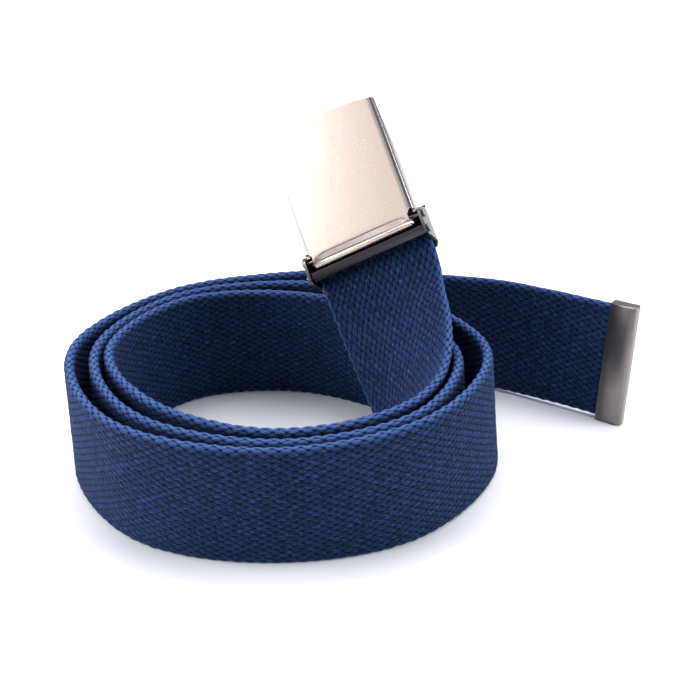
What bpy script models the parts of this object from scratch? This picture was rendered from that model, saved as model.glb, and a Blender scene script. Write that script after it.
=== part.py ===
# Canvas web belt standing on its edge in a loose coil, with a flip-top buckle on the
# inner end and a metal tip on the free end. Metres, +Z up, the front of the coil towards -Y.
# Tables hold shares of the named sizes; a row is one section of the belt, from the tip inwards.
import math

import bmesh
import bpy
from mathutils import Matrix, Vector

MM = 0.001

# Web
WEB_WIDTH = 38 * MM
WEB_THICKNESS = 2.8 * MM
WEB_EDGE_FLAT = 1.6 * MM
WEB_EDGE_ROUND = 1.0 * MM
EDGE_SHOULDER = (0.75, 0.3)
SECTION_STEP = 7 * MM

# Coil, measured on the middle of the web's thickness
COIL_RADIUS = 56 * MM
TURN_SPACING = 5.2 * MM
TAIL_LENGTH = 108 * MM
TAIL_LEAN_BEARING = 65

# Buckle, in its own frame: X across the web, Y along it away from the coil, Z out of the face
# and its hinge pin placed by shares of the coil's radius, across and back, and of the web's width
BUCKLE_SHARES = (0.391, 0.515, 1.554)
BUCKLE_TURN = math.radians(-24)
BUCKLE_STAND = math.radians(64)
BUCKLE_ROLL = math.radians(32)
SHEET = 0.9 * MM
SIDE_GAP = 0.3 * MM
COVER_GAP = 0.6 * MM
SEAT_GAP = 0.3 * MM
COVER_LENGTH = 40.3 * MM
COVER_BOW = 2.2 * MM
COVER_CROWN = 0.4 * MM
COVER_BEND = 1.2 * MM
FLANGE_GAP = 0.5 * MM
FLANGE_RISE = 26 * MM
FLANGE_SHORT = 2.0 * MM
LIP_RADIUS = 2.8 * MM
LIP_SWEEP = 150
LIP_SIDE = 2.3 * MM
NOTCH_RADIUS = 1.1 * MM
NOTCH_IN = 0.8 * MM
NOTCH_UP = 1.2 * MM
PIN_RADIUS = 0.65 * MM
PIN_CLEARANCE = 0.1 * MM
PIN_HEAD_RADIUS = 1.3 * MM
PIN_HEAD_THICKNESS = 0.5 * MM
EAR_RADIUS = 2.1 * MM
EAR_FOOT = 3.4 * MM
PLATE_TONGUE = 4.4 * MM
PLATE_CORNER = 2 * MM
PLATE_NECK = 16 * MM
PLATE_SHORT = 4 * MM
WEB_INSERT = 5.5 * MM
CLAMP_THICKNESS = 1.1 * MM
CLAMP_WALL = 0.6 * MM
CLAMP_BLADE = 3.0 * MM
CLAMP_SLOPE = math.radians(78)
TOOTH_COUNT = 7
TOOTH_PITCH = 5 * MM
TOOTH_WIDTH = 2.8 * MM
TOOTH_DEPTH = 0.7 * MM

# Belt tip
TIP_LENGTH = 8.4 * MM
TIP_SHEET = 0.5 * MM
TIP_GAP = 0.3 * MM
TIP_BEND = 0.8 * MM

# Outer turn of the coil: bearing in degrees, radius, gap to the second turn, gap from the
# second to the third turn, and lean of the upper edge away from the middle in degrees.
TURN_TABLE = (
    # bearing, radius, first gap, second gap, lean
    (90, 0.973, 1.44, 1.58, -5),
    (135, 0.996, 0.78, 0.76, -3),
    (180, 1.118, 1.29, 0.74, -2),
    (225, 1.045, 1.24, 1.38, 4),
    (270, 0.931, 0.73, 0.98, 6),
    (315, 0.977, 0.73, 0.76, 1),
    (360, 1.060, 1.75, 1.75, -6),
    (405, 0.904, 2.40, 2.40, -5),
)
TURNS = 3
LAST_BEARING = 270 + 360 * (TURNS - 1)

# Free end, from the tip to the coil: place along the tail as a share of its length, place
# behind the back of the coil as a share of the radius, lean in degrees, and lift as a share
# of the tip's lower wall.
TAIL_TABLE = (
    # along, back, lean, lift
    (0.968, -0.602, 5, 1.4),
    (0.775, -0.372, 5, 1.2),
    (0.605, -0.192, 5, 0.6),
    (0.436, -0.095, 4, 0.0),
    (0.227, -0.012, 2, 0.0),
)

# Rise from the third turn to the buckle: place of the web's middle as shares of the coil's
# radius across and forward, height as a share of the web's width, and the upper edge's
# tilt from upright and bearing in degrees.
RISE_TABLE = (
    # across, forward, height, tilt, bearing
    (0.384, -0.688, 0.500, 4, -60),
    (0.568, -0.474, 0.502, 14, -46),
    (0.636, -0.243, 0.563, 27, -37),
    (0.643, -0.018, 0.684, 37, -28),
    (0.600, 0.193, 0.853, 47, -19),
    (0.536, 0.366, 1.070, 54, -14),
)

# Values that follow from the sizes above
WEB_FACE = -LIP_RADIUS - SEAT_GAP
WEB_MIDDLE = WEB_FACE - WEB_THICKNESS / 2
PLATE_TOP = WEB_FACE - WEB_THICKNESS - SEAT_GAP
PLATE_BOTTOM = PLATE_TOP - SHEET
EAR_INNER = WEB_WIDTH / 2 + SIDE_GAP
EAR_OUTER = EAR_INNER + SHEET
COVER_HALF = EAR_INNER - COVER_GAP
CLAMP_HALF = EAR_INNER - SIDE_GAP
FACE_TOP = LIP_RADIUS
HOLE_RADIUS = PIN_RADIUS + PIN_CLEARANCE
CLAMP_RADIUS = HOLE_RADIUS + CLAMP_WALL
CLAMP_PIN_Y = -LIP_RADIUS - COVER_CROWN - CLAMP_RADIUS - SEAT_GAP
CLAMP_TIP_DROP = CLAMP_BLADE * math.sin(CLAMP_SLOPE) + CLAMP_THICKNESS / 2 * math.cos(CLAMP_SLOPE)
CLAMP_PIN_Z = WEB_FACE + SEAT_GAP + CLAMP_TIP_DROP
TEETH_Y = CLAMP_PIN_Y - CLAMP_BLADE * math.cos(CLAMP_SLOPE)
EAR_LOW_Y = CLAMP_PIN_Y - EAR_FOOT
EAR_HIGH_Y = EAR_RADIUS + SHEET / 2
PLATE_END_Y = TEETH_Y - PLATE_TONGUE
PLATE_FAR_Y = COVER_LENGTH - PLATE_SHORT
WEB_END_Y = TEETH_Y + WEB_INSERT
TIP_WALL = TIP_GAP + TIP_SHEET


def clear_scene():
    for item in list(bpy.data.objects):
        bpy.data.objects.remove(item, do_unlink=True)


def make_material(name, colour, roughness, metallic):
    material = bpy.data.materials.new(name)
    material.use_nodes = True
    shader = material.node_tree.nodes["Principled BSDF"]
    shader.inputs["Base Color"].default_value = (*colour, 1.0)
    shader.inputs["Roughness"].default_value = roughness
    shader.inputs["Metallic"].default_value = metallic
    return material


def make_collection(name):
    collection = bpy.data.collections.new(name)
    bpy.context.scene.collection.children.link(collection)
    return collection


def make_empty(name, parent, matrix):
    empty = bpy.data.objects.new(name, None)
    empty.empty_display_size = 0.01
    belt_collection.objects.link(empty)
    empty.parent = parent
    empty.matrix_local = matrix
    return empty


def add_object(name, mesh, material, parent, smooth=False):
    mesh.name = name
    piece = bpy.data.objects.new(name, mesh)
    belt_collection.objects.link(piece)
    mesh.materials.clear()
    mesh.materials.append(material)
    for face in mesh.polygons:
        face.use_smooth = smooth
    piece.parent = parent
    return piece


# Shapes shared by the metal pieces
AXES = {
    "across": Matrix(((0, 0, 1, 0), (1, 0, 0, 0), (0, 1, 0, 0), (0, 0, 0, 1))),
    "along": Matrix(((0, 1, 0, 0), (0, 0, 1, 0), (1, 0, 0, 0), (0, 0, 0, 1))),
    "out": Matrix.Identity(4),
}


def prism(name, outline, low, high, axis):
    """Closed flat outline pushed from low to high along one axis of the buckle.

    The outline's two coordinates are Y Z for across, Z X for along and X Y for out."""
    curve = bpy.data.curves.new(name, "CURVE")
    curve.dimensions = "2D"
    curve.fill_mode = "BOTH"
    curve.extrude = (high - low) / 2
    spline = curve.splines.new("POLY")
    spline.points.add(len(outline) - 1)
    for point, place in zip(spline.points, outline):
        point.co = (place[0], place[1], 0.0, 1.0)
    spline.use_cyclic_u = True
    source = bpy.data.objects.new(name, curve)
    bpy.context.scene.collection.objects.link(source)
    graph = bpy.context.evaluated_depsgraph_get()
    mesh = bpy.data.meshes.new_from_object(source.evaluated_get(graph))
    bpy.data.objects.remove(source)
    bpy.data.curves.remove(curve)
    mesh.transform(AXES[axis] @ Matrix.Translation((0, 0, (high + low) / 2)))
    tidy = bmesh.new()
    tidy.from_mesh(mesh)
    bmesh.ops.remove_doubles(tidy, verts=tidy.verts, dist=MM / 1000)
    bmesh.ops.recalc_face_normals(tidy, faces=tidy.faces)
    tidy.to_mesh(mesh)
    tidy.free()
    return mesh


def arc(centre_a, centre_b, radius, start, end, steps):
    """Points of an arc, both ends included, angles in degrees."""
    points = []
    for step in range(steps + 1):
        angle = math.radians(start + (end - start) * step / steps)
        points.append((centre_a + radius * math.cos(angle), centre_b + radius * math.sin(angle)))
    return points


def circle(centre_a, centre_b, radius, sides):
    return arc(centre_a, centre_b, radius, 0, 360 * (sides - 1) / sides, sides - 1)


def combine(piece, mesh, operation):
    """Join a mesh to a piece or cut it out, and keep the result as the piece's mesh."""
    tool = bpy.data.objects.new(piece.name + "_tool", mesh)
    cutter_collection.objects.link(tool)
    tool.hide_render = True
    tool.display_type = "WIRE"
    tool.parent = piece.parent
    change = piece.modifiers.new("change", "BOOLEAN")
    change.operation = operation
    change.solver = "EXACT"
    change.object = tool
    bpy.context.view_layer.update()
    graph = bpy.context.evaluated_depsgraph_get()
    result = bpy.data.meshes.new_from_object(piece.evaluated_get(graph))
    piece.modifiers.clear()
    bpy.data.objects.remove(tool)
    old = piece.data
    piece.data = result
    bpy.data.meshes.remove(old)
    result.name = piece.name


def pin_hole(piece, place_y, place_z, low, high, radius):
    hole = prism("hole", circle(place_y, place_z, radius, 16), low, high, "across")
    combine(piece, hole, "DIFFERENCE")


# Route of the web
def station(x, y, z, tilt, bearing):
    """Middle of one section and the direction of its upper edge."""
    lean = math.radians(tilt)
    way = math.radians(bearing)
    upper = Vector((math.sin(lean) * math.cos(way), math.sin(lean) * math.sin(way), math.cos(lean)))
    return Vector((x, y, z)), upper


def rest_height(lean):
    """Height of the web's middle where its lower edge rests flat on the ground."""
    angle = math.radians(abs(lean))
    return WEB_WIDTH / 2 * math.cos(angle) - WEB_EDGE_FLAT / 2 * math.sin(angle)


def tail_stations():
    rows = []
    back = COIL_RADIUS * TURN_TABLE[0][1]
    for along, offset, lean, lift in TAIL_TABLE:
        x = TAIL_LENGTH * along
        y = back + COIL_RADIUS * offset
        z = rest_height(lean) + TIP_WALL * lift
        rows.append(station(x, y, z, lean, TAIL_LEAN_BEARING))
    return rows


def coil_stations():
    rows = []
    for turn in range(TURNS):
        for bearing, radius, first_gap, second_gap, lean in TURN_TABLE:
            total = bearing + 360 * turn
            if total > LAST_BEARING:
                break
            inset = (0.0, first_gap, first_gap + second_gap)[turn] * TURN_SPACING
            reach = COIL_RADIUS * radius - inset
            way = math.radians(bearing)
            x = reach * math.cos(way)
            y = reach * math.sin(way)
            rows.append(station(x, y, rest_height(lean), lean, bearing))
    return rows


def rise_stations():
    rows = []
    for across, forward, height, tilt, bearing in RISE_TABLE:
        x = COIL_RADIUS * across
        y = COIL_RADIUS * forward
        rows.append(station(x, y, WEB_WIDTH * height, tilt, bearing))
    return rows


def buckle_matrix():
    across, back, height = BUCKLE_SHARES
    place = Matrix.Translation((COIL_RADIUS * across, COIL_RADIUS * back, WEB_WIDTH * height))
    turn = Matrix.Rotation(BUCKLE_TURN, 4, "Z")
    stand = Matrix.Rotation(BUCKLE_STAND, 4, "X")
    roll = Matrix.Rotation(BUCKLE_ROLL, 4, "Z")
    return place @ turn @ stand @ roll


def buckle_stations(frame):
    """Straight stretch of the web from just outside the frame to its cut end."""
    upper = (frame.to_3x3() @ Vector((1, 0, 0))).normalized()
    rows = []
    for y in (PLATE_END_Y - SHEET, TEETH_Y, WEB_END_Y):
        rows.append((frame @ Vector((0, y, WEB_MIDDLE)), upper))
    return rows


def smooth_between(before, first, second, after, share):
    """Place and edge direction part of the way between two stations, on a smooth curve."""
    left = max((first[0] - before[0]).length, MM)
    span = max((second[0] - first[0]).length, MM)
    right = max((after[0] - second[0]).length, MM)
    result = []
    for part in (0, 1):
        p0, p1, p2, p3 = before[part], first[part], second[part], after[part]
        start = ((p1 - p0) / left - (p2 - p0) / (left + span) + (p2 - p1) / span) * span
        end = ((p2 - p1) / span - (p3 - p1) / (span + right) + (p3 - p2) / right) * span
        s2 = share * share
        s3 = s2 * share
        along = p1 * (2 * s3 - 3 * s2 + 1) + start * (s3 - 2 * s2 + share)
        result.append(along + p2 * (3 * s2 - 2 * s3) + end * (s3 - s2))
    return result[0], result[1].normalized()


def web_route(frame):
    """Evenly spaced stations from the free end to the cut end inside the buckle."""
    rows = tail_stations() + coil_stations() + rise_stations() + buckle_stations(frame)
    before = (rows[0][0] * 2 - rows[1][0], rows[0][1])
    after = (rows[-1][0] * 2 - rows[-2][0], rows[-1][1])
    rows = [before] + rows + [after]
    fine = []
    for index in range(1, len(rows) - 2):
        for step in range(12):
            fine.append(smooth_between(*rows[index - 1:index + 3], step / 12))
    fine.append(rows[-2])
    travelled = [0.0]
    for near, far in zip(fine, fine[1:]):
        travelled.append(travelled[-1] + (far[0] - near[0]).length)
    count = round(travelled[-1] / SECTION_STEP)
    route = []
    index = 0
    for step in range(count + 1):
        wanted = travelled[-1] * step / count
        while index < len(fine) - 2 and travelled[index + 1] < wanted:
            index += 1
        share = (wanted - travelled[index]) / (travelled[index + 1] - travelled[index])
        place = fine[index][0].lerp(fine[index + 1][0], share)
        upper = fine[index][1].lerp(fine[index + 1][1], share).normalized()
        route.append((place, upper))
    return route


def route_frames(route):
    """Place, forward, upper edge and outward directions of every section."""
    frames = []
    for index, (place, upper) in enumerate(route):
        ahead = route[min(index + 1, len(route) - 1)][0]
        behind = route[max(index - 1, 0)][0]
        forward = (ahead - behind).normalized()
        upper = (upper - forward * upper.dot(forward)).normalized()
        frames.append((place, forward, upper, forward.cross(upper)))
    return frames


def web_section():
    """Outline of the web's cross section: outward from its middle, and towards its upper edge."""
    flat = WEB_EDGE_FLAT / 2
    side = WEB_THICKNESS / 2
    top = WEB_WIDTH / 2
    corner = (flat + (side - flat) * EDGE_SHOULDER[0], top - WEB_EDGE_ROUND * EDGE_SHOULDER[1])
    quarter = [(side, top - WEB_EDGE_ROUND), corner, (flat, top)]
    left = [(-out, up) for out, up in reversed(quarter)]
    upper = quarter + left
    return upper + [(-out, -up) for out, up in upper]


def make_web(frames):
    outline = web_section()
    loft = bmesh.new()
    rings = []
    for place, _, upper, outward in frames:
        ring = []
        for out, up in outline:
            point = place + outward * out + upper * up
            point.z = max(point.z, 0.0)
            ring.append(loft.verts.new(point))
        rings.append(ring)
    for near, far in zip(rings, rings[1:]):
        for index in range(len(outline)):
            after = (index + 1) % len(outline)
            loft.faces.new((near[index], near[after], far[after], far[index]))
    loft.faces.new(rings[0])
    loft.faces.new(rings[-1])
    bmesh.ops.recalc_face_normals(loft, faces=loft.faces)
    mesh = bpy.data.meshes.new("web")
    loft.to_mesh(mesh)
    loft.free()
    return add_object("web", mesh, navy_web, belt_root)


def make_tip(frames):
    """Folded clamp round the free end: a rounded box with a pocket for the web."""
    place, forward, upper, outward = frames[0]
    turn = Matrix((forward, outward, upper)).transposed().to_4x4()
    tip_place = make_empty("tip_place", belt_root, Matrix.Translation(place) @ turn)
    pocket_y = WEB_THICKNESS / 2 + TIP_GAP
    pocket_z = WEB_WIDTH / 2 + TIP_GAP
    low = -TIP_WALL
    box = bmesh.new()
    bmesh.ops.create_cube(box, size=1)
    size = (TIP_LENGTH, (pocket_y + TIP_SHEET) * 2, (pocket_z + TIP_SHEET) * 2)
    bmesh.ops.scale(box, vec=size, verts=box.verts)
    bmesh.ops.translate(box, vec=(low + TIP_LENGTH / 2, 0, 0), verts=box.verts)
    end_edges = [e for e in box.edges if all(v.co.x < 0 for v in e.verts)]
    end_edges = [e for e in end_edges if abs(e.verts[0].co.z - e.verts[1].co.z) > MM]
    bmesh.ops.bevel(
        box, geom=end_edges, offset=TIP_BEND, offset_type="OFFSET", segments=4,
        profile=0.5, affect="EDGES", material=-1)
    mesh = bpy.data.meshes.new("belt_tip")
    box.to_mesh(mesh)
    box.free()
    tip = add_object("belt_tip", mesh, satin_nickel, tip_place)
    pocket = bmesh.new()
    bmesh.ops.create_cube(pocket, size=1)
    bmesh.ops.scale(pocket, vec=(TIP_LENGTH * 2, pocket_y * 2, pocket_z * 2), verts=pocket.verts)
    bmesh.ops.translate(pocket, vec=(TIP_LENGTH - TIP_GAP, 0, 0), verts=pocket.verts)
    pocket_mesh = bpy.data.meshes.new("pocket")
    pocket.to_mesh(pocket_mesh)
    pocket.free()
    combine(tip, pocket_mesh, "DIFFERENCE")
    return tip


# Buckle
def channel_outline(half, wall_end, crown, bend, thickness, level):
    """Sheet folded to a channel, as X Z points swapped to Z X for a prism along Y.

    level is the outer face of the channel's web and wall_end the end of its side walls."""
    side = 1 if level > wall_end else -1
    outer = []
    inner = []
    for step in range(4):
        angle = math.radians(90 * step / 3)
        lift = bend * math.sin(angle)
        reach = bend * math.cos(angle)
        outer.append((level - side * (bend - lift), half - bend + reach))
    inner_bend = max(bend - thickness, thickness / 4)
    for step in range(4):
        angle = math.radians(90 * (3 - step) / 3)
        lift = inner_bend * math.sin(angle)
        reach = inner_bend * math.cos(angle)
        inner.append((level - side * (thickness + inner_bend - lift), half - thickness - inner_bend + reach))
    top = [(wall_end, half)] + outer
    bottom = inner + [(wall_end, half - thickness)]
    steps = 10 if crown > 0 else 1
    rise = []
    fall = []
    flat = half - bend
    for step in range(1, steps):
        x = flat * (1 - 2 * step / steps)
        height = crown * (1 - (x / flat) ** 2)
        rise.append((level + side * height, x))
    flat = half - thickness - inner_bend
    for step in range(1, steps):
        x = flat * (1 - 2 * step / steps)
        height = crown * (1 - (x / flat) ** 2)
        fall.append((level - side * (thickness - height), x))
    mirror_top = [(z, -x) for z, x in reversed(top)]
    mirror_bottom = [(z, -x) for z, x in reversed(bottom)]
    return top + rise + mirror_top + mirror_bottom + fall[::-1] + bottom


def make_frame(parent):
    """Channel with a flat back plate, cut down to two ears, a neck and a rounded tongue."""
    outline = channel_outline(EAR_OUTER, EAR_RADIUS, 0.0, COVER_BEND, SHEET, PLATE_BOTTOM)
    mesh = prism("buckle_frame", outline, PLATE_END_Y, PLATE_FAR_Y, "along")
    frame = add_object("buckle_frame", mesh, satin_nickel, parent)
    above = EAR_RADIUS * 2
    cut_level = PLATE_TOP + SHEET / 3
    far = PLATE_FAR_Y + EAR_FOOT
    near = PLATE_END_Y - EAR_FOOT
    trim = [(near, cut_level), (EAR_LOW_Y, cut_level)]
    trim += arc(CLAMP_PIN_Y, CLAMP_PIN_Z, EAR_RADIUS, 195, 90, 6)
    trim += arc(0, 0, EAR_RADIUS, 90, -15, 6)
    trim += [(EAR_HIGH_Y, cut_level), (far, cut_level), (far, above), (near, above)]
    wide = EAR_OUTER * 1.2
    combine(frame, prism("trim", trim, -wide, wide, "across"), "DIFFERENCE")
    for side in (-1, 1):
        neck = [(PLATE_NECK, EAR_HIGH_Y + SHEET), (wide, EAR_HIGH_Y + SHEET), (wide, far), (PLATE_NECK, far)]
        corner = [(EAR_OUTER - PLATE_CORNER, near), (wide, near), (wide, PLATE_END_Y + PLATE_CORNER)]
        corner += arc(EAR_OUTER - PLATE_CORNER, PLATE_END_Y + PLATE_CORNER, PLATE_CORNER, 0, -90, 5)
        for shape in (neck, corner):
            flipped = [(x * side, y) for x, y in shape]
            cutter = prism("cutter", flipped, PLATE_BOTTOM - SHEET, above, "out")
            combine(frame, cutter, "DIFFERENCE")
    pin_hole(frame, 0, 0, -wide, wide, HOLE_RADIUS)
    pin_hole(frame, CLAMP_PIN_Y, CLAMP_PIN_Z, -wide, wide, HOLE_RADIUS)
    return frame


def make_cover(parent):
    """Domed face folded down at both sides, with a lip rolled round the hinge pin."""
    flange_low = WEB_FACE + FLANGE_GAP
    wide = EAR_OUTER
    high = FACE_TOP * 2
    low = -FACE_TOP * 2
    outline = channel_outline(COVER_HALF, low / 1.2, COVER_CROWN, COVER_BEND, SHEET, FACE_TOP)
    mesh = prism("buckle_cover", outline, -EAR_RADIUS - SHEET, COVER_LENGTH, "along")
    cover = add_object("buckle_cover", mesh, bright_nickel, parent)
    far = COVER_LENGTH + SHEET
    trim = [(low, high), (low, low), (far, low), (far, FACE_TOP - FLANGE_SHORT)]
    for step in range(6, -1, -1):
        share = step / 6
        y = COVER_LENGTH - FLANGE_RISE * (1 - 0.8 * share)
        z = flange_low + (FACE_TOP - FLANGE_SHORT - flange_low) * share ** 2
        trim.append((y, z))
    trim.append((EAR_RADIUS, flange_low))
    trim += arc(0, 0, EAR_RADIUS, 270, 90, 10)
    trim += [(NOTCH_UP, EAR_RADIUS), (NOTCH_UP, high)]
    combine(cover, prism("trim", trim, -wide, wide, "across"), "DIFFERENCE")
    end = [(wide, far), (-wide, far)]
    for step in range(13):
        x = COVER_HALF * (step / 6 - 1)
        end.append((x * 1.01, COVER_LENGTH - COVER_BOW * (x / COVER_HALF) ** 2))
    combine(cover, prism("end", end, low, high, "out"), "DIFFERENCE")
    lip = arc(0, 0, LIP_RADIUS, 90, 90 + LIP_SWEEP, 12)
    lip += arc(0, 0, LIP_RADIUS - SHEET, 90 + LIP_SWEEP, 90, 12)
    lip_root = NOTCH_UP + SHEET * 2
    lip += [(lip_root, LIP_RADIUS - SHEET), (lip_root, LIP_RADIUS)]
    lip_half = COVER_HALF - LIP_SIDE
    combine(cover, prism("lip", lip, -lip_half, lip_half, "across"), "UNION")
    for side in (-1, 1):
        centre_x = side * (COVER_HALF - NOTCH_IN)
        notch = circle(centre_x, NOTCH_UP, NOTCH_RADIUS, 12)
        combine(cover, prism("notch", notch, FACE_TOP - SHEET * 2, high, "out"), "DIFFERENCE")
    pin_hole(cover, 0, 0, -wide, wide, HOLE_RADIUS)
    return cover


def make_clamp(parent):
    """Bar that turns on its pin, with a blade of teeth over the web."""
    down = 180 + math.degrees(CLAMP_SLOPE)
    angle = math.radians(down)
    spread = math.degrees(math.acos(CLAMP_THICKNESS / 2 / CLAMP_RADIUS))
    outline = arc(0, 0, CLAMP_RADIUS, down + 90 - spread, down + 270 + spread, 14)
    half = CLAMP_THICKNESS / 2
    for sign in (1, -1):
        y = CLAMP_BLADE * math.cos(angle) + sign * half * math.sin(angle)
        z = CLAMP_BLADE * math.sin(angle) - sign * half * math.cos(angle)
        outline.append((y, z))
    mesh = prism("clamp_bar", outline, -CLAMP_HALF, CLAMP_HALF, "across")
    bar = add_object("clamp_bar", mesh, dark_nickel, parent)
    gap_half = (TOOTH_PITCH - TOOTH_WIDTH) / 2
    reach = CLAMP_BLADE + CLAMP_THICKNESS
    root = CLAMP_BLADE - TOOTH_DEPTH
    gap = []
    for along, aside in ((root, -2), (reach, -2), (reach, 2), (root, 2)):
        y = along * math.cos(angle) - aside * half * math.sin(angle)
        z = along * math.sin(angle) + aside * half * math.cos(angle)
        gap.append((y, z))
    first = -TOOTH_PITCH * TOOTH_COUNT / 2
    for index in range(1, TOOTH_COUNT):
        middle = first + TOOTH_PITCH * index
        combine(bar, prism("gap", gap, middle - gap_half, middle + gap_half, "across"), "DIFFERENCE")
    outer = TOOTH_PITCH * (TOOTH_COUNT - 1) / 2 + TOOTH_WIDTH / 2
    combine(bar, prism("gap", gap, outer, EAR_OUTER, "across"), "DIFFERENCE")
    combine(bar, prism("gap", gap, -EAR_OUTER, -outer, "across"), "DIFFERENCE")
    pin_hole(bar, 0, 0, -EAR_OUTER, EAR_OUTER, HOLE_RADIUS)
    return bar


def make_pin(name, parent, place_y, place_z):
    """Turned pin through both ears, with a flat head outside each of them."""
    inside = EAR_OUTER + PIN_CLEARANCE
    outside = inside + PIN_HEAD_THICKNESS
    profile = bmesh.new()
    points = [(0, outside), (PIN_HEAD_RADIUS, outside), (PIN_HEAD_RADIUS, inside), (PIN_RADIUS, inside)]
    points += [(radius, -height) for radius, height in reversed(points)]
    verts = [profile.verts.new((radius, 0, height)) for radius, height in points]
    for near, far in zip(verts, verts[1:]):
        profile.edges.new((near, far))
    mesh = bpy.data.meshes.new(name)
    profile.to_mesh(mesh)
    profile.free()
    pin = add_object(name, mesh, satin_nickel, parent, smooth=True)
    turned = pin.modifiers.new("turned", "SCREW")
    turned.axis = "Z"
    turned.steps = 16
    turned.render_steps = 16
    turned.use_merge_vertices = True
    turned.merge_threshold = MM / 100
    pin.location = (0, place_y, place_z)
    pin.rotation_euler = (0, math.radians(90), 0)
    return pin


def centre_on_ground(root):
    """Put the middle of the belt's bounding box over the origin, with its lowest point at zero."""
    bpy.context.view_layer.update()
    corners = []
    for piece in belt_collection.objects:
        if piece.type == "MESH":
            for vertex in piece.data.vertices:
                corners.append(piece.matrix_world @ vertex.co)
    low = [min(corner[axis] for corner in corners) for axis in range(3)]
    high = [max(corner[axis] for corner in corners) for axis in range(3)]
    root.location = (-(low[0] + high[0]) / 2, -(low[1] + high[1]) / 2, -low[2])


clear_scene()
belt_collection = make_collection("Canvas_web_belt")
cutter_collection = make_collection("Cutters")
navy_web = make_material("navy_web", (0.012, 0.026, 0.105), 0.9, 0.0)
satin_nickel = make_material("satin_nickel", (0.62, 0.58, 0.54), 0.32, 1.0)
bright_nickel = make_material("bright_nickel", (0.80, 0.76, 0.72), 0.28, 1.0)
dark_nickel = make_material("dark_nickel", (0.42, 0.42, 0.46), 0.22, 1.0)

belt_root = make_empty("belt_root", None, Matrix.Identity(4))
buckle_frame_matrix = buckle_matrix()
buckle_place = make_empty("buckle_place", belt_root, buckle_frame_matrix)
cover_hinge = make_empty("cover_hinge", buckle_place, Matrix.Identity(4))
clamp_hinge_matrix = Matrix.Translation((0, CLAMP_PIN_Y, CLAMP_PIN_Z))
clamp_hinge = make_empty("clamp_hinge", buckle_place, clamp_hinge_matrix)

web_frames = route_frames(web_route(buckle_frame_matrix))
make_web(web_frames)
make_tip(web_frames)
make_frame(buckle_place)
make_cover(cover_hinge)
make_clamp(clamp_hinge)
make_pin("cover_pin", buckle_place, 0, 0)
make_pin("clamp_pin", buckle_place, CLAMP_PIN_Y, CLAMP_PIN_Z)
centre_on_ground(belt_root)
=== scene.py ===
import math

import bmesh
import bpy
import numpy as np
from mathutils import Matrix, Vector


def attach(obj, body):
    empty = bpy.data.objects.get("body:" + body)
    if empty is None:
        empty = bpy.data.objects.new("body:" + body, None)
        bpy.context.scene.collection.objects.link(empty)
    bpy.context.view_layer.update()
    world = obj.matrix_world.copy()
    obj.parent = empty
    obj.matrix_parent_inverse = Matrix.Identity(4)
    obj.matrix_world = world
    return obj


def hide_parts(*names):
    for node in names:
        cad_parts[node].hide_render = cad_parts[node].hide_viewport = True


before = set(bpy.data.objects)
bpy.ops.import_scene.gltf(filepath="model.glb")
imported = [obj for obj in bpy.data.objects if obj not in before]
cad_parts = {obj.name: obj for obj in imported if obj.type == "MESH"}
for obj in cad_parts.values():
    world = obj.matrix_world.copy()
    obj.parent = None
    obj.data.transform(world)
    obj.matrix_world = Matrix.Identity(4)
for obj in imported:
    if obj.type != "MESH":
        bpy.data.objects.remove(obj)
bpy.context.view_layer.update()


# The room: a white table under wide soft lamps, as in a catalogue picture. The camera looks
# down on the belt from its front, close enough that the coil's sides fall away.
MM = 0.001
CAMERA_PLACE = Vector((-3.2, -294.3, 191.9)) * MM
CAMERA_DOWN = math.radians(27.9)
CAMERA_LENS = 59.14
TABLE_HALF = 3.0
TABLE_TONES = ((0.90, 0.90, 0.93), (0.93, 0.93, 0.95))
TABLE_CLOUD = 3.0
LAMPS = (
    # name, place, target, width, height, power, colour
    ("lamp_above", (0.0, 0.22, 1.06), (0, 0, 0), 0.9, 0.7, 11.0, (0.95, 0.955, 1.0)),
    ("lamp_behind", (0.0, 1.3, 1.2), (0, 1.1, 0), 2.4, 1.0, 22, (1.0, 1.0, 1.0)),
    ("lamp_left", (-0.95, -0.10, 0.40), (0, 0, 0.03), 0.6, 0.7, 11.6, (0.97, 0.98, 1.0)),
    ("lamp_right", (0.95, -0.05, 0.42), (0, 0, 0.03), 0.6, 0.7, 9.4, (0.97, 0.98, 1.0)),
    ("lamp_front_left", (-0.64, -0.52, 0.50), (0, 0, 0.07), 0.7, 0.7, 1.10, (1.0, 0.96, 0.93)),
)
ROOM_COLOUR = (0.88, 0.89, 1.0, 1)
ROOM_STRENGTH = 0.20


def new_object(name, content):
    """An object of a mesh, lamp or camera, linked to the scene."""
    thing = bpy.data.objects.new(name, content)
    bpy.context.scene.collection.objects.link(thing)
    return thing


def object_from(name, shape, smooth=True):
    """A finished bmesh as an object, with its faces shaded smooth."""
    mesh = bpy.data.meshes.new(name)
    shape.to_mesh(mesh)
    shape.free()
    for face in mesh.polygons:
        face.use_smooth = smooth
    return new_object(name, mesh)


def new_finish(name, **values):
    """A material with values on its shader's sockets, as (material, nodes, links, shader)."""
    finish = bpy.data.materials.new(name)
    finish.use_nodes = True
    nodes, links = finish.node_tree.nodes, finish.node_tree.links
    shader = nodes["Principled BSDF"]
    for socket, value in values.items():
        shader.inputs[socket.replace("_", " ")].default_value = value
    return finish, nodes, links, shader


def noise(nodes, links, vector, scale, detail=2):
    """A noise texture read at a vector."""
    node = nodes.new("ShaderNodeTexNoise")
    node.inputs["Scale"].default_value = scale
    node.inputs["Detail"].default_value = detail
    links.new(vector, node.inputs["Vector"])
    return node


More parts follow.
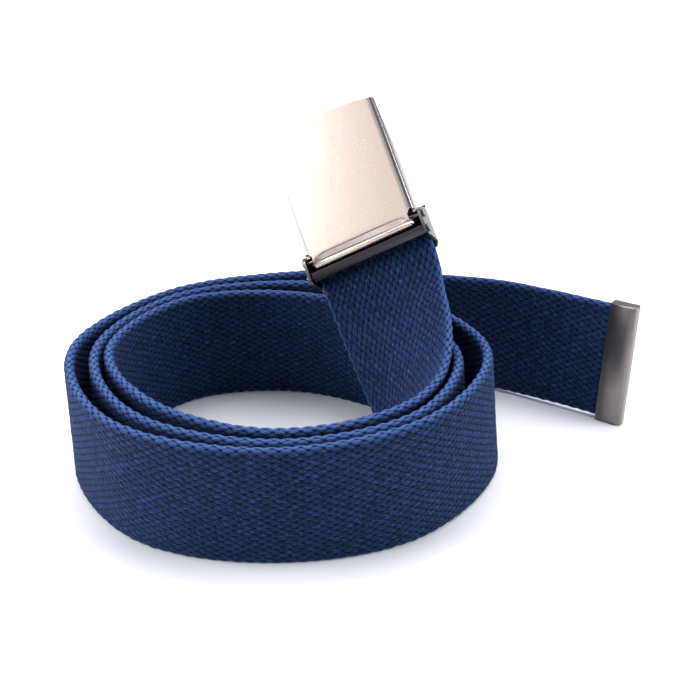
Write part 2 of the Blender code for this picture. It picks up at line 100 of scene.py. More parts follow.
def blend_colour(nodes, links, share, first, second):
    """Two colours mixed by a share. Each of the three is a value or another node's output."""
    node = nodes.new("ShaderNodeMix")
    node.data_type = "RGBA"
    for name, value in (("Factor", share), ("A", first), ("B", second)):
        if isinstance(value, tuple):
            node.inputs[name].default_value = (*value, 1)
        else:
            links.new(value, node.inputs[name])
    return node.outputs["Result"]


def table_top():
    """A wide white table, faintly uneven in its tone."""
    shape = bmesh.new()
    bmesh.ops.create_grid(shape, x_segments=1, y_segments=1, size=TABLE_HALF)
    top = object_from("table_top", shape, smooth=False)
    finish, nodes, links, shader = new_finish(
        "white_table", Roughness=0.55, Specular_IOR_Level=0.25)
    place = nodes.new("ShaderNodeTexCoord")
    cloud = noise(nodes, links, place.outputs["Object"], TABLE_CLOUD)
    tone = blend_colour(nodes, links, cloud.outputs["Fac"], *TABLE_TONES)
    links.new(tone, shader.inputs["Base Color"])
    top.data.materials.append(finish)


def soft_lamp(name, place, target, width, height, power, colour):
    """A wide flat lamp at a place, turned to its target."""
    lamp = bpy.data.lights.new(name, "AREA")
    lamp.shape = "RECTANGLE"
    lamp.size = width
    lamp.size_y = height
    lamp.energy = power
    lamp.color = colour
    holder = new_object(name, lamp)
    holder.location = place
    aim = Vector(target) - Vector(place)
    holder.rotation_euler = aim.to_track_quat("-Z", "Y").to_euler()


table_top()
for lamp_facts in LAMPS:
    soft_lamp(*lamp_facts)

room = bpy.data.worlds.new("room")
room.use_nodes = True
room.node_tree.nodes["Background"].inputs["Color"].default_value = ROOM_COLOUR
room.node_tree.nodes["Background"].inputs["Strength"].default_value = ROOM_STRENGTH
bpy.context.scene.world = room
bpy.context.scene.view_settings.view_transform = "Standard"

camera_data = bpy.data.cameras.new("camera")
camera_data.lens = CAMERA_LENS
camera_data.sensor_width = 36
camera_data.clip_start = 0.01
camera = new_object("camera", camera_data)
camera.location = CAMERA_PLACE
camera.rotation_euler = (math.radians(90) - CAMERA_DOWN, 0, 0)
bpy.context.scene.camera = camera


# The web: a long narrow strip of heavy cotton, woven on a tape loom with coarse yarns that
# stand up as small staggered knuckles on both faces. Its edges are woven shut, rounder and
# paler. It stands on its edge in three loose turns, and its inner end climbs to the buckle.
WEB_WIDTH = 38 * MM
WEB_THICKNESS = 2.8 * MM
WEB_CORNER = 1.25 * MM
WEB_EDGE_FLAT = 1.6 * MM
COLUMN = 0.875 * MM
COLUMNS_IN_KNUCKLE = 4
ROWS = 76
ROWS_IN_KNUCKLE = 2
KNUCKLE_RELIEF = 0.30 * MM
KNUCKLE_SINK = 0.6
KNUCKLE_SWAY = 0.45
SWAY_SCALE = 0.9
KNUCKLE_CURVE = 2.6
KNUCKLE_FALL = 0.54
END_FALL = 0.85
# painted shade between the knuckles: how fast the colour darkens where a knuckle falls away, and
# where it starts
GAP_SHADE_GAIN = 2.2
GAP_SHADE_OFFSET = -0.78
WEAVE_RELIEF = 0.38 * MM
FIBRE_PITCH = (5.0, 1.3)
FIBRE_RELIEF = 0.55
FLECK_START = 0.53
FLECK_GAIN = 4.0
UNEVEN_SEED = 5
UNEVEN_SHARE = 0.12
UNEVEN_YARNS = 4096
YARN_KEYS = (61, 17)
ROUTE_SMOOTHING = 12
WEB_SEAM = 0.02 * MM
TABLE_GAP = 0.05 * MM
YARN_DARK = (0.0056, 0.0150, 0.045)
YARN_LIGHT = (0.0092, 0.0265, 0.089)
FLECK_BLUE = (0.038, 0.102, 0.330)
EDGE_BLUE = (0.070, 0.150, 0.400)
EDGE_SHARE = 0.70
EDGE_ROWS = 2.2
# painted shade: the dark colour the gaps between knuckles are darkened to
GAP_SHADE_BLUE = (0.0012, 0.003, 0.011)
COIL_MIDDLE = Vector((-21.177, -1.0, 0.0)) * MM
COIL_RADIUS = 56 * MM
TURN_SPACING = 5.2 * MM
TAIL_LENGTH = 108 * MM
TAIL_LEAN_BEARING = 65
TIP_WALL = 0.8 * MM
TURNS = 3
LAST_BEARING = 990
TURN_TABLE = (
    # bearing, radius, first gap, second gap, lean
    (90, 0.973, 1.44, 1.58, -5),
    (135, 0.996, 0.78, 0.76, -3),
    (180, 1.118, 1.29, 0.74, -2),
    (225, 1.045, 1.24, 1.38, 4),
    (270, 0.931, 0.73, 0.98, 6),
    (315, 0.977, 0.73, 0.76, 1),
    (360, 1.060, 1.75, 1.75, -6),
    (405, 0.904, 2.40, 2.40, -5),
)
TAIL_TABLE = (
    # along, back, lean, lift
    (0.968, -0.602, 5, 1.4),
    (0.775, -0.372, 5, 1.2),
    (0.605, -0.192, 5, 0.6),
    (0.436, -0.095, 4, 0.0),
    (0.227, -0.012, 2, 0.0),
)
RISE_TABLE = (
    # across, forward, height, tilt, bearing
    (0.384, -0.688, 0.500, 4, -60),
    (0.568, -0.474, 0.502, 14, -46),
    (0.636, -0.243, 0.563, 27, -37),
    (0.643, -0.018, 0.684, 37, -28),
    (0.600, 0.193, 0.853, 47, -19),
    (0.536, 0.366, 1.070, 54, -14),
)
BUCKLE_SHARES = (0.391, 0.515, 1.554)
BUCKLE_TURN = math.radians(-24)
BUCKLE_STAND = math.radians(64)
BUCKLE_ROLL = math.radians(32)
WEB_MIDDLE = -4.5 * MM
WEB_IN_BUCKLE = (-10.774 * MM, -5.474 * MM, 0.026 * MM)


def buckle_matrix():
    across, back, height = BUCKLE_SHARES
    place = Matrix.Translation((COIL_RADIUS * across, COIL_RADIUS * back, WEB_WIDTH * height))
    turn = Matrix.Rotation(BUCKLE_TURN, 4, "Z")
    stand = Matrix.Rotation(BUCKLE_STAND, 4, "X")
    roll = Matrix.Rotation(BUCKLE_ROLL, 4, "Z")
    return place @ turn @ stand @ roll


def edge_way(tilt, bearing):
    """Direction of the web's upper edge."""
    lean = math.radians(tilt)
    way = math.radians(bearing)
    return Vector((math.sin(lean) * math.cos(way), math.sin(lean) * math.sin(way), math.cos(lean)))


def rest_height(lean):
    """Height of the web's middle when its lower edge stands on the table."""
    angle = math.radians(abs(lean))
    return WEB_WIDTH / 2 * math.cos(angle) - WEB_EDGE_FLAT / 2 * math.sin(angle)


def web_stations():
    """Middle of the web and direction of its upper edge, from the free end inwards."""
    rows = []
    for along, back, lean, lift in TAIL_TABLE:
        y = COIL_RADIUS * (TURN_TABLE[0][1] + back)
        place = Vector((TAIL_LENGTH * along, y, rest_height(lean) + TIP_WALL * lift))
        rows.append((place, edge_way(lean, TAIL_LEAN_BEARING)))
    for turn in range(TURNS):
        for bearing, radius, first_gap, second_gap, lean in TURN_TABLE:
            if bearing + 360 * turn > LAST_BEARING:
                break
            inset = (0.0, first_gap, first_gap + second_gap)[turn] * TURN_SPACING
            reach = COIL_RADIUS * radius - inset
            way = math.radians(bearing)
            place = Vector((reach * math.cos(way), reach * math.sin(way), rest_height(lean)))
            rows.append((place, edge_way(lean, bearing)))
    for across, forward, height, tilt, bearing in RISE_TABLE:
        place = Vector((COIL_RADIUS * across, COIL_RADIUS * forward, WEB_WIDTH * height))
        rows.append((place, edge_way(tilt, bearing)))
    seat = buckle_matrix()
    across_buckle = (seat.to_3x3() @ Vector((1, 0, 0))).normalized()
    for y in WEB_IN_BUCKLE:
        rows.append((seat @ Vector((0, y, WEB_MIDDLE)), across_buckle))
    return rows


def web_route(steps_each=12):
    """Smooth route through the stations, with evenly spaced columns four to a knuckle."""
    rows = web_stations()
    before = (rows[0][0] * 2 - rows[1][0], rows[0][1])
    after = (rows[-1][0] * 2 - rows[-2][0], rows[-1][1])
    rows = [before] + rows + [after]
    places, ways = [], []
    for index in range(1, len(rows) - 2):
        four = rows[index - 1:index + 3]
        left = max((four[1][0] - four[0][0]).length, MM)
        span = max((four[2][0] - four[1][0]).length, MM)
        right = max((four[3][0] - four[2][0]).length, MM)
        for step in range(steps_each):
            share = step / steps_each
            s2, s3 = share * share, share ** 3
            mixed = []
            for part in (0, 1):
                p0, p1, p2, p3 = (row[part] for row in four)
                out = ((p1 - p0) / left - (p2 - p0) / (left + span) + (p2 - p1) / span) * span
                back = ((p2 - p1) / span - (p3 - p1) / (span + right) + (p3 - p2) / right) * span
                point = p1 * (2 * s3 - 3 * s2 + 1) + out * (s3 - 2 * s2 + share)
                mixed.append(point + p2 * (3 * s2 - 2 * s3) + back * (s3 - s2))
            places.append(mixed[0])
            ways.append(mixed[1].normalized())
    places.append(rows[-2][0])
    ways.append(rows[-2][1])
    places = np.array([tuple(place) for place in places])
    ways = np.array([tuple(way) for way in ways])
    travelled = np.concatenate(([0], np.cumsum(np.linalg.norm(np.diff(places, axis=0), axis=1))))
    count = int(round(travelled[-1] / COLUMN / COLUMNS_IN_KNUCKLE)) * COLUMNS_IN_KNUCKLE
    wanted = np.linspace(0, travelled[-1], count + 1)
    even = np.stack([np.interp(wanted, travelled, places[:, axis]) for axis in range(3)], axis=1)
    upper = np.stack([np.interp(wanted, travelled, ways[:, axis]) for axis in range(3)], axis=1)
    for _ in range(ROUTE_SMOOTHING):
        even[1:-1] = (even[:-2] + even[2:] + 2 * even[1:-1]) / 4
        upper[1:-1] = (upper[:-2] + upper[2:] + 2 * upper[1:-1]) / 4
    forward = np.gradient(even, axis=0)
    forward /= np.linalg.norm(forward, axis=1)[:, None]
    upper -= forward * np.sum(upper * forward, axis=1)[:, None]
    upper /= np.linalg.norm(upper, axis=1)[:, None]
    return even, forward, upper, np.cross(forward, upper), travelled[-1]


def web_outline():
    """Place and outward direction of each row of yarn round the web's cross section."""
    half, top, corner = WEB_THICKNESS / 2, WEB_WIDTH / 2, WEB_CORNER
    flat, side, bend = (half - corner) * 2, (top - corner) * 2, math.pi / 2 * corner
    whole = 2 * (flat + side) + 4 * bend
    rows = []
    for row in range(ROWS + 1):
        run = whole * row / ROWS
        place = None
        for index, length in enumerate((flat / 2, side, flat, side)):
            if run <= length:
                start = run - (0 if index == 0 else length / 2)
                if index == 0:
                    place = ((run, -top), (0, -1))
                elif index == 1:
                    place = ((half, start), (1, 0))
                elif index == 2:
                    place = ((-start, top), (0, 1))
                else:
                    place = ((-half, -start), (-1, 0))
                break
            run -= length
            if run <= bend:
                angle = math.pi / 2 * (index - 1 + run / bend)
                centre = (
                    (half - corner) * (1, 1, -1, -1)[index],
                    (top - corner) * (-1, 1, 1, -1)[index])
                way = (math.cos(angle), math.sin(angle))
                place = ((centre[0] + corner * way[0], centre[1] + corner * way[1]), way)
                break
            run -= bend
        if place is None:
            place = ((run - flat / 2, -top), (0, -1))
        rows.append(place)
    return np.array(rows)


def weave_web():
    """The web as rings of rows along its route, each knuckle raised a little."""
    middle, forward, upper, outward, length = web_route()
    columns = len(middle) - 1
    strip = bmesh.new()
    strip.loops.layers.uv.new("weave")
    bmesh.ops.create_grid(strip, x_segments=columns, y_segments=ROWS, size=0.5, calc_uvs=True)
    mesh = bpy.data.meshes.new("web")
    strip.to_mesh(mesh)
    strip.free()
    flat = np.empty(len(mesh.vertices) * 3)
    mesh.vertices.foreach_get("co", flat)
    flat = flat.reshape(-1, 3) + 0.5
    column = np.rint(flat[:, 0] * columns).astype(int)
    row = np.rint(flat[:, 1] * ROWS).astype(int)
    side = column / COLUMNS_IN_KNUCKLE + row / ROWS_IN_KNUCKLE
    end = column / COLUMNS_IN_KNUCKLE - row / ROWS_IN_KNUCKLE
    from_side = 2 * np.abs(side - np.rint(side))
    from_end = 2 * np.abs(end - np.rint(end))
    seeded = np.random.default_rng(UNEVEN_SEED)
    uneven = seeded.normal(1.0, UNEVEN_SHARE, UNEVEN_YARNS)
    side_key, end_key = (np.rint(way).astype(int) * key for way, key in zip((side, end), YARN_KEYS))
    yarn = (side_key + end_key) % UNEVEN_YARNS
    rise = (1 - 0.5 * (from_side ** 2 + from_end ** 2)) * uneven[yarn]
    rise = KNUCKLE_RELIEF * (rise - KNUCKLE_SINK)
    outline = web_outline()[row % ROWS]
    out = outline[:, 0, 0] + outline[:, 1, 0] * rise
    top = outline[:, 0, 1] + outline[:, 1, 1] * rise
    points = middle[column] + outward[column] * out[:, None] + upper[column] * top[:, None]
    points += np.array(COIL_MIDDLE)
    points[:, 2] = np.maximum(points[:, 2], TABLE_GAP)
    mesh.vertices.foreach_set("co", points.ravel())
    closed = bmesh.new()
    closed.from_mesh(mesh)
    bmesh.ops.remove_doubles(closed, verts=closed.verts, dist=WEB_SEAM)
    ends = [edge for edge in closed.edges if edge.is_boundary]
    bmesh.ops.holes_fill(closed, edges=ends, sides=ROWS)
    bmesh.ops.recalc_face_normals(closed, faces=closed.faces)
    bpy.data.meshes.remove(mesh)
    return object_from("woven_web", closed), columns, length


def maths(nodes, links, operation, first, second=None, clamp=False):
    """A maths node's output. Its inputs are numbers or other nodes' outputs."""
    node = nodes.new("ShaderNodeMath")
    node.operation = operation
    node.use_clamp = clamp
    for socket, value in zip(node.inputs, (first, second)):
        if value is None:
            continue
        if isinstance(value, (int, float)):
            socket.default_value = value
        else:
            links.new(value, socket)
    return node.outputs[0]


def add_bump(nodes, links, shader, height, strength, depth):
    """Relief from a height, on the shader's normal."""
    bump = nodes.new("ShaderNodeBump")
    bump.inputs["Strength"].default_value = strength
    bump.inputs["Distance"].default_value = depth
    links.new(height, bump.inputs["Height"])
    links.new(bump.outputs["Normal"], shader.inputs["Normal"])


def joined(nodes, links, first, second):
    """A vector of two values."""
    node = nodes.new("ShaderNodeCombineXYZ")
    links.new(first, node.inputs["X"])
    links.new(second, node.inputs["Y"])
    return node.outputs["Vector"]


def navy_cotton(columns):
    """Staggered yarn knuckles, each dyed a little differently, paler at the woven edges, with
    painted shade in the gaps between them.
    """
    finish, nodes, links, shader = new_finish(
        "navy_cotton_weave", Roughness=0.85, Specular_IOR_Level=0.12, Sheen_Weight=0.06,
        Sheen_Roughness=0.45, Sheen_Tint=(0.40, 0.58, 1.0, 1))

    def calc(operation, first, second=None, clamp=False):
        return maths(nodes, links, operation, first, second, clamp)

    place = nodes.new("ShaderNodeTexCoord")
    split = nodes.new("ShaderNodeSeparateXYZ")
    links.new(place.outputs["UV"], split.inputs["Vector"])
    along = calc("MULTIPLY", split.outputs["X"], columns / COLUMNS_IN_KNUCKLE)
    across = calc("MULTIPLY", split.outputs["Y"], ROWS / ROWS_IN_KNUCKLE)
    side = calc("ADD", along, across)
    end = calc("SUBTRACT", along, across)
    # a slow noise pushes the knuckles a little out of line
    sway = noise(nodes, links, joined(nodes, links, side, end), SWAY_SCALE)
    push = nodes.new("ShaderNodeSeparateColor")
    links.new(sway.outputs["Color"], push.inputs["Color"])
    side_push = calc("MULTIPLY", calc("SUBTRACT", push.outputs["Red"], 0.5), KNUCKLE_SWAY)
    end_push = calc("MULTIPLY", calc("SUBTRACT", push.outputs["Green"], 0.5), KNUCKLE_SWAY)
    side = calc("ADD", side, side_push)
    end = calc("ADD", end, end_push)
    # a knuckle falls away towards its sides, and most where four knuckles meet
    from_side = calc("MULTIPLY", calc("PINGPONG", side, 0.5), 2)
    from_end = calc("MULTIPLY", calc("PINGPONG", end, 0.5), 2)
    towards_end = calc("MULTIPLY", calc("POWER", from_end, KNUCKLE_CURVE), END_FALL)
    far = calc("ADD", calc("POWER", from_side, KNUCKLE_CURVE), towards_end)
    knuckle = calc("SUBTRACT", 1, calc("MULTIPLY", far, KNUCKLE_FALL), clamp=True)
    # each knuckle takes the dye a little differently
    dye = nodes.new("ShaderNodeTexWhiteNoise")
    dye.noise_dimensions = "2D"
    cell = joined(nodes, links, calc("ROUND", side), calc("ROUND", end))
    links.new(cell, dye.inputs["Vector"])
    yarn = blend_colour(nodes, links, dye.outputs["Value"], YARN_DARK, YARN_LIGHT)
    # fine fibres run along the lean of the knuckles
    fine, long = (calc("MULTIPLY", way, pitch) for way, pitch in zip((side, end), FIBRE_PITCH))
    thread = joined(nodes, links, fine, long)
    fibre = noise(nodes, links, thread, 1.0, 3)
    fleck = calc("SUBTRACT", fibre.outputs["Fac"], FLECK_START)
    fleck = calc("MULTIPLY", fleck, FLECK_GAIN, clamp=True)
    yarn = blend_colour(nodes, links, fleck, yarn, FLECK_BLUE)
    # the woven edges lie near the middle of the ring of rows, and near its two ends
    from_middle = calc("ABSOLUTE", calc("SUBTRACT", split.outputs["Y"], 0.5))
    from_edge = calc("SUBTRACT", 0.25, calc("ABSOLUTE", calc("SUBTRACT", from_middle, 0.25)))
    edge = calc("SUBTRACT", 1.0, calc("DIVIDE", from_edge, EDGE_ROWS / ROWS), clamp=True)
    yarn = blend_colour(nodes, links, calc("MULTIPLY", edge, EDGE_SHARE), yarn, EDGE_BLUE)
    # painted shade: where a knuckle falls away its colour is darkened towards the gap colour,
    # standing in for the shade between knuckles
    lit = calc("MULTIPLY_ADD", knuckle, GAP_SHADE_GAIN, clamp=True)
    lit.node.inputs[2].default_value = GAP_SHADE_OFFSET
    links.new(blend_colour(nodes, links, lit, GAP_SHADE_BLUE, yarn), shader.inputs["Base Color"])
    height = calc("MULTIPLY_ADD", fibre.outputs["Fac"], FIBRE_RELIEF)
    links.new(knuckle, height.node.inputs[2])
    add_bump(nodes, links, shader, height, 1.0, WEAVE_RELIEF)
    return finish


web, web_columns, web_length = weave_web()
web.data.materials.append(navy_cotton(web_columns))
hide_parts("web")
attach(web, "belt")


# The belt tip: thin nickel-plated steel folded over the web's cut end and pressed flat. It
# is open towards the web, and its closed end and long edges are rounded by the folding.
TIP_LENGTH = 8.4 * MM
TIP_SHEET = 0.5 * MM
TIP_HALF = (WEB_THICKNESS / 2 + TIP_WALL, WEB_WIDTH / 2 + TIP_WALL)
TIP_BEND = 1.15 * MM
TIP_EDGE = 0.3 * MM
MOTTLE_SCALE = 120
BEND_SHADE_SHARE = 0.85
ROUGH_SPREAD = 0.10
GRAIN_STRENGTH = 0.15


def nickel(name, colour, dark, roughness, grain_scale, grain_depth, blotch, bend=None):
    """Plated steel: a faint mottle, fine polishing grain, and painted shade at bends."""
    finish, nodes, links, shader = new_finish(name, Metallic=1.0)
    place = nodes.new("ShaderNodeTexCoord").outputs["Object"]
    mottle = noise(nodes, links, place, MOTTLE_SCALE, 5)
    grain = noise(nodes, links, place, grain_scale, 6)
    share = maths(nodes, links, "MULTIPLY", mottle.outputs["Fac"], blotch)
    plated = blend_colour(nodes, links, share, colour, dark)
    # painted shade: vertices marked as bend take a darker grey, standing in for the darker
    # reflection where the sheet bends
    if bend:
        shade_mark = nodes.new("ShaderNodeAttribute")
        shade_mark.attribute_name = "bend"
        share = maths(nodes, links, "MULTIPLY", shade_mark.outputs["Fac"], BEND_SHADE_SHARE)
        plated = blend_colour(nodes, links, share, plated, bend)
    links.new(plated, shader.inputs["Base Color"])
    rough = maths(nodes, links, "MULTIPLY_ADD", grain.outputs["Fac"], ROUGH_SPREAD)
    rough.node.inputs[2].default_value = roughness - ROUGH_SPREAD / 2
    links.new(rough, shader.inputs["Roughness"])
    add_bump(nodes, links, shader, grain.outputs["Fac"], GRAIN_STRENGTH, grain_depth)
    return finish


def fold_tip():
    """A flat box round the web's free end, open on one side, with its wall as a modifier."""
    middle, forward, upper, outward, _ = web_route()
    seat = Matrix((forward[0], outward[0], upper[0])).transposed().to_4x4()
    seat = Matrix.Translation(Vector(middle[0]) + COIL_MIDDLE) @ seat
    shell = bmesh.new()
    bmesh.ops.create_cube(shell, size=1)
    bmesh.ops.scale(shell, vec=(TIP_LENGTH, TIP_HALF[0] * 2, TIP_HALF[1] * 2), verts=shell.verts)
    bmesh.ops.translate(shell, vec=(TIP_LENGTH / 2 - TIP_WALL, 0, 0), verts=shell.verts)
    mouth = [f for f in shell.faces if f.normal.x > 0.9]
    bmesh.ops.delete(shell, geom=mouth, context="FACES_ONLY")
    end_edges = [e for e in shell.edges if all(v.co.x < 0 for v in e.verts)]
    long_end = [e for e in end_edges if abs(e.verts[0].co.z - e.verts[1].co.z) > MM]
    bmesh.ops.bevel(
        shell, geom=long_end, offset=TIP_BEND, offset_type="OFFSET", segments=6, profile=0.5,
        affect="EDGES", material=-1)
    rest = [e for e in shell.edges if not e.is_boundary and e.calc_face_angle(0) > 0.9]
    bmesh.ops.bevel(
        shell, geom=rest, offset=TIP_EDGE, offset_type="OFFSET", segments=3, profile=0.5,
        affect="EDGES", material=-1)
    bmesh.ops.transform(shell, matrix=seat, verts=shell.verts)
    bmesh.ops.recalc_face_normals(shell, faces=shell.faces)
    tip = object_from("folded_tip", shell)
    wall = tip.modifiers.new("wall", "SOLIDIFY")
    wall.thickness = TIP_SHEET
    wall.offset = -1
    return tip


tip = fold_tip()
tip.data.materials.append(nickel(
    "satin_tip_nickel", (0.29, 0.265, 0.255), (0.15, 0.135, 0.125), 0.38, 900, 0.02 * MM, 0.8))
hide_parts("belt_tip")
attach(tip, "belt")


# The buckle's cover: bright nickel-plated steel, pressed to a faint dome with a bowed end. Its
# sides fold back as flanges, and its lower edge is pressed to a flute and rolled round the
# hinge pin. A round relief notch is cut at each corner of the roll.
SHEET = 0.9 * MM
COVER_HALF = 18.7 * MM
COVER_LENGTH = 40.3 * MM
COVER_BOW = 2.2 * MM
COVER_CROWN = 0.4 * MM
COVER_BEND = 1.2 * MM
FACE_TOP = 2.8 * MM
FLANGE_LOW = -2.6 * MM
FLANGE_SHORT = 2.0 * MM
FLANGE_RISE = 26 * MM
FLANGE_TAPER = 0.8
LIP_HALF = 16.4 * MM
NOTCH_PLACE = (17.9 * MM, 1.2 * MM)
NOTCH_RADIUS = 1.1 * MM
NOTCH_DRILL = 4 * MM
ROLL_INSET = 0.3 * MM
FLANGE_STEPS = 6
BEND_STEPS = 8
FACE_ROWS = 48
COVER_SEAM = 0.004 * MM
COVER_SHARP = math.radians(35)
LIP_COLUMNS = 64
FLUTE_ROWS = 36
FLUTE_TOP = 0.9 * MM
FLUTE_STEP = 0.12 * MM
FLUTE_STEP_RATE = 12
FLUTE_DEPTH = 0.85 * MM
FLUTE_RETURN = 1.0 * MM
FLUTE_SETBACK = 0.40 * MM
FLUTE_SETBACK_RATE = 3
FLUTE_END = 5.0 * MM
FLUTE_END_CURVE = 2.5
FLUTE_LOW = -1.9 * MM
LIP_PROFILE = [(y * MM, z * MM) for y, z in (
    # down the lip from the flute's lower edge, then round the hinge pin
    (-2.00, 2.38), (-2.07, 2.29), (-2.15, 2.29), (-2.35, 2.31), (-2.52, 2.24), (-2.65, 2.08),
    (-2.75, 1.85), (-2.80, 1.55), (-2.84, 1.20), (-2.86, 0.80), (-2.85, 0.30), (-2.75, -0.50),
    (-2.45, -1.20), (-1.95, -1.80), (-1.40, -2.20), (-0.80, -2.40))]
BUCKLE_SEAT = Matrix.Translation(COIL_MIDDLE) @ buckle_matrix()


def crown_at(x):
    """Height of the face's faint dome over its edges."""
    return COVER_CROWN * max(0.0, 1 - (x / (COVER_HALF - COVER_BEND)) ** 2)


def along_face(x, share):
    """Place along the face at x, from its lower edge to its bowed far end."""
    end = COVER_LENGTH - COVER_BOW * (x / COVER_HALF) ** 2
    return NOTCH_PLACE[1] + (end - NOTCH_PLACE[1]) * share


def flange_depth(y):
    """Depth of the side flange under the face, which tapers towards the far end."""
    share = min(max((y - (COVER_LENGTH - FLANGE_RISE)) / (FLANGE_RISE * FLANGE_TAPER), 0.0), 1.0)
    low = FLANGE_LOW + (FACE_TOP - FLANGE_SHORT - FLANGE_LOW) * share ** 2
    return FACE_TOP - COVER_BEND - low


def cover_columns():
    """Places across the flat of the cover, with one column at each end of the roll."""
    flat = COVER_HALF - COVER_BEND - ROLL_INSET
    inner = [LIP_HALF * (2 * slot / LIP_COLUMNS - 1) for slot in range(LIP_COLUMNS + 1)]
    return [-flat] + inner + [flat]


def lip_line(x):
    """One line down the lip, from the face's lower edge round the hinge pin."""
    fall = NOTCH_PLACE[1] - FLUTE_LOW
    to_end = max(0.0, (abs(x) - (LIP_HALF - FLUTE_END)) / FLUTE_END)
    round_end = 1 - math.sqrt(max(0.0, 1 - to_end ** FLUTE_END_CURVE))
    brow = FLUTE_TOP - (FLUTE_TOP - FLUTE_LOW) * round_end
    places = [(x, NOTCH_PLACE[1], FACE_TOP + crown_at(x))]
    for step in range(1, FLUTE_ROWS + 1):
        y = NOTCH_PLACE[1] - fall * step / FLUTE_ROWS
        z = FACE_TOP + crown_at(x) * (y - FLUTE_LOW) / fall
        if y < brow:
            deep = (brow - y) / (FLUTE_TOP - FLUTE_LOW)
            out = min((y - FLUTE_LOW) / FLUTE_RETURN, 1.0)
            sunk = FLUTE_STEP * min(deep * FLUTE_STEP_RATE, 1.0) + FLUTE_DEPTH * deep
            z -= sunk * math.sin(math.pi / 2 * out)
            z -= FLUTE_SETBACK * (1 - out) * min(deep * FLUTE_SETBACK_RATE, 1.0)
        places.append((x, y, z))
    return places + [(x, y, z) for y, z in LIP_PROFILE]


def face_line(share):
    """One line across the cover, from the left flange's edge to the right one's."""
    fold_top = FACE_TOP - COVER_BEND
    sides = []
    for side in (-1, 1):
        y = along_face(COVER_HALF, share)
        half = [
            (side * COVER_HALF, y, fold_top - flange_depth(y) * (1 - slot / FLANGE_STEPS))
            for slot in range(FLANGE_STEPS)]
        for slot in range(BEND_STEPS + 1):
            angle = math.pi / 2 * slot / BEND_STEPS
            x = COVER_HALF - COVER_BEND + COVER_BEND * math.cos(angle)
            half.append((side * x, along_face(x, share), fold_top + COVER_BEND * math.sin(angle)))
        sides.append(half)
    middle = [(x, along_face(x, share), FACE_TOP + crown_at(x)) for x in cover_columns()]
    return sides[0] + middle + sides[1][::-1]


def lay_grid(shape, lines):
    """A grid laid on lines of places, and its vertices with the number of each in its line."""
    down, across = len(lines) - 1, len(lines[0]) - 1
    grid = bmesh.ops.create_grid(shape, x_segments=across, y_segments=down, size=0.5)["verts"]
    numbered = []
    for vert in grid:
        slot = round((vert.co.x + 0.5) * across)
        vert.co = lines[round((vert.co.y + 0.5) * down)][slot]
        numbered.append((vert, slot))
    return numbered


def notch_drill():
    """The two round cutters of the relief notches."""
    shape = bmesh.new()
    for side in (-1, 1):
        bmesh.ops.create_cone(
            shape, cap_ends=True, segments=32, radius1=NOTCH_RADIUS, radius2=NOTCH_RADIUS,
            depth=NOTCH_DRILL,
            matrix=Matrix.Translation((side * NOTCH_PLACE[0], NOTCH_PLACE[1], FACE_TOP)))
    return object_from("notches", shape, smooth=False)


def press_cover():
    """Face, bends, flanges and roll as one bent sheet, then the two notches cut through it."""
    shape = bmesh.new()
    bend = shape.verts.layers.float.new("bend")
    lines = [face_line(step / FACE_ROWS) for step in range(FACE_ROWS + 1)]
    # vertices on the side bends and just beside them are marked for painted shade
    for vert, slot in lay_grid(shape, lines):
        from_side = min(slot, len(lines[0]) - 1 - slot)
        in_bend_shade = FLANGE_STEPS - 2 <= from_side <= FLANGE_STEPS + BEND_STEPS + 1
        vert[bend] = 1.0 if in_bend_shade else 0.0
    lay_grid(shape, [lip_line(x) for x in cover_columns()[1:-1]])
    bmesh.ops.remove_doubles(shape, verts=shape.verts, dist=COVER_SEAM)
    bmesh.ops.recalc_face_normals(shape, faces=shape.faces)
    top = max(shape.faces, key=lambda face: face.calc_center_median().z)
    if top.normal.z < 0:
        bmesh.ops.reverse_faces(shape, faces=shape.faces)
    cover = object_from("pressed_cover", shape)
    wall = cover.modifiers.new("wall", "SOLIDIFY")
    wall.thickness = SHEET
    wall.offset = -1
    drill = notch_drill()
    change = cover.modifiers.new("notches", "BOOLEAN")
    change.operation = "DIFFERENCE"
    change.solver = "EXACT"
    change.object = drill
    bpy.context.view_layer.update()
    graph = bpy.context.evaluated_depsgraph_get()
    whole = bpy.data.meshes.new_from_object(cover.evaluated_get(graph))
    cover.modifiers.clear()
    cover.data = whole
    bpy.data.objects.remove(drill)
    whole.transform(BUCKLE_SEAT)
    for face in whole.polygons:
        face.use_smooth = True
    whole.set_sharp_from_angle(angle=COVER_SHARP)
    return cover


cover = press_cover()
# the bend colour below is painted shade on the cover's side bends
cover.data.materials.append(nickel(
    "bright_cover_nickel", (0.79, 0.665, 0.600), (0.77, 0.64, 0.575), 0.26, 1400, 0.001 * MM,
    0.6, bend=(0.36, 0.35, 0.36)))
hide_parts("buckle_cover")
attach(cover, "cover")


# The buckle's frame: a steel channel with a flat back plate and two upright ears, drilled
# for the two pins, nickel plated after it is pressed.
SHARP = math.radians(38)
NEARLY_FLAT = math.radians(1)
SOLID_SEAM = 0.002 * MM
FRAME_EDGE = 0.10 * MM


def soften_edges(piece, width, angle, segments=2):
    """Narrow bevels on a piece's sharp edges."""
    edges = piece.modifiers.new("softened_edges", "BEVEL")
    edges.limit_method = "ANGLE"
    edges.angle_limit = angle
    edges.width = width
    edges.segments = segments
    edges.use_clamp_overlap = True


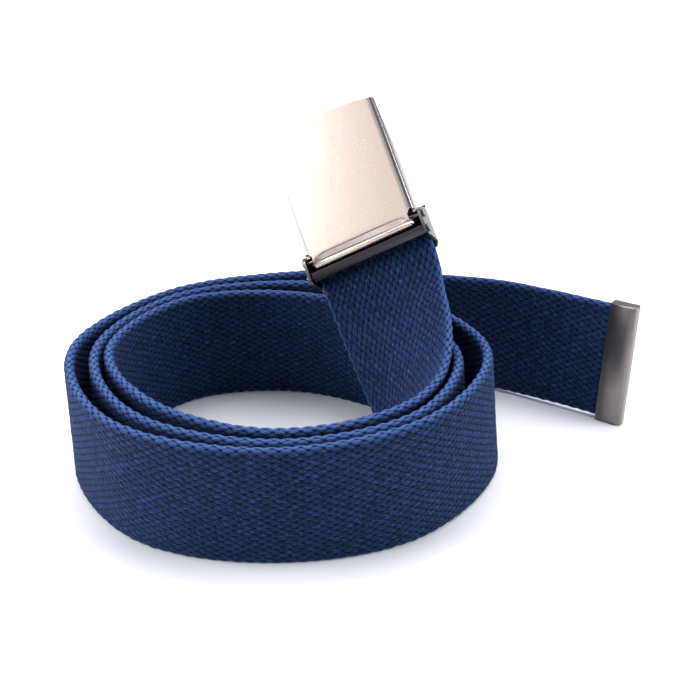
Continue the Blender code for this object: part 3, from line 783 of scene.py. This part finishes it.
def copy_of_solid(node, name, width, segments=2):
    """A CAD node's shape with its edges softened, as its own object."""
    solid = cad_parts[node]
    shape = bmesh.new()
    shape.from_mesh(solid.data)
    shape.transform(solid.matrix_world)
    bmesh.ops.remove_doubles(shape, verts=shape.verts, dist=SOLID_SEAM)
    bmesh.ops.dissolve_limit(
        shape, angle_limit=NEARLY_FLAT, verts=shape.verts, edges=shape.edges)
    piece = object_from(name, shape)
    piece.data.set_sharp_from_angle(angle=SHARP)
    soften_edges(piece, width, SHARP, segments)
    return piece


channel = copy_of_solid("buckle_frame", "frame_channel", FRAME_EDGE)
satin = nickel(
    "satin_frame_nickel", (0.19, 0.180, 0.172), (0.12, 0.113, 0.108), 0.30, 1100, 0.006 * MM, 0.7)
channel.data.materials.append(satin)
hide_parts("buckle_frame")
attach(channel, "belt")


# The clamp bar: a plated steel bar that turns on its own pin, its colour painted dark as painted
# shade. Its face hides the pin from the front, and a row of short teeth along its lower edge bites
# the web.
BAR_HALF = 18.9 * MM
BAR_PROFILE = [(y * MM, z * MM) for y, z in (
    # round the bar's cross section, from under the cover's lip
    (-3.50, 1.30), (-3.55, 1.55), (-3.75, 1.56), (-6.02, 0.42), (-6.12, 0.22), (-6.05, 0.00),
    (-5.35, -2.85), (-5.25, -3.00), (-4.60, -3.00), (-4.00, -0.60), (-3.60, 0.50))]
TEETH = 7
TOOTH = (2.1 * MM, 0.55 * MM, 0.75 * MM)
TOOTH_PLACE = (-5.78 * MM, -2.92 * MM)
TOOTH_PITCH = 4.75 * MM
TOOTH_LEAN = 0.12 * MM
BAR_EDGE = 0.07 * MM
BAR_SHARP = math.radians(30)
BAR_BEVELLED = math.radians(50)


def toothed_bar():
    """The bar's cross section drawn out along the pin, and its teeth."""
    shape = bmesh.new()
    side = shape.faces.new([shape.verts.new((-BAR_HALF, y, z)) for y, z in BAR_PROFILE])
    drawn = bmesh.ops.extrude_face_region(shape, geom=[side], use_keep_orig=True)["geom"]
    drawn = [part for part in drawn if isinstance(part, bmesh.types.BMVert)]
    bmesh.ops.translate(shape, vec=(2 * BAR_HALF, 0, 0), verts=drawn)
    for tooth in range(TEETH):
        x = (tooth - (TEETH - 1) / 2) * TOOTH_PITCH
        made = bmesh.ops.create_cube(shape, size=1, matrix=(
            Matrix.Translation((x, TOOTH_PLACE[0], TOOTH_PLACE[1])) @ Matrix.Diagonal((*TOOTH, 1))))
        corners = [v for v in made["verts"] if v.co.z < TOOTH_PLACE[1]]
        bmesh.ops.translate(shape, vec=(0, -TOOTH_LEAN, 0), verts=corners)
    bmesh.ops.recalc_face_normals(shape, faces=shape.faces)
    shape.transform(BUCKLE_SEAT)
    bar = object_from("toothed_bar", shape)
    bar.data.set_sharp_from_angle(angle=BAR_SHARP)
    soften_edges(bar, BAR_EDGE, BAR_BEVELLED)
    return bar


bar = toothed_bar()
# painted shade: the bar's colour is painted dark
bar.data.materials.append(nickel(
    "bar_nickel_painted_shade", (0.105, 0.095, 0.105), (0.065, 0.060, 0.070), 0.30, 1200, 0.001 * MM, 0.7))
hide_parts("clamp_bar")
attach(bar, "clamp")


# The two pins: plated steel rods with flat heads outside the ears, which hold them in place.
PIN_EDGE = 0.12 * MM
for node, name in (("cover_pin", "hinge_pin"), ("clamp_pin", "bar_pin")):
    pin = copy_of_solid(node, name, PIN_EDGE, 3)
    pin.data.materials.append(satin)
    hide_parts(node)
    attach(pin, "belt")
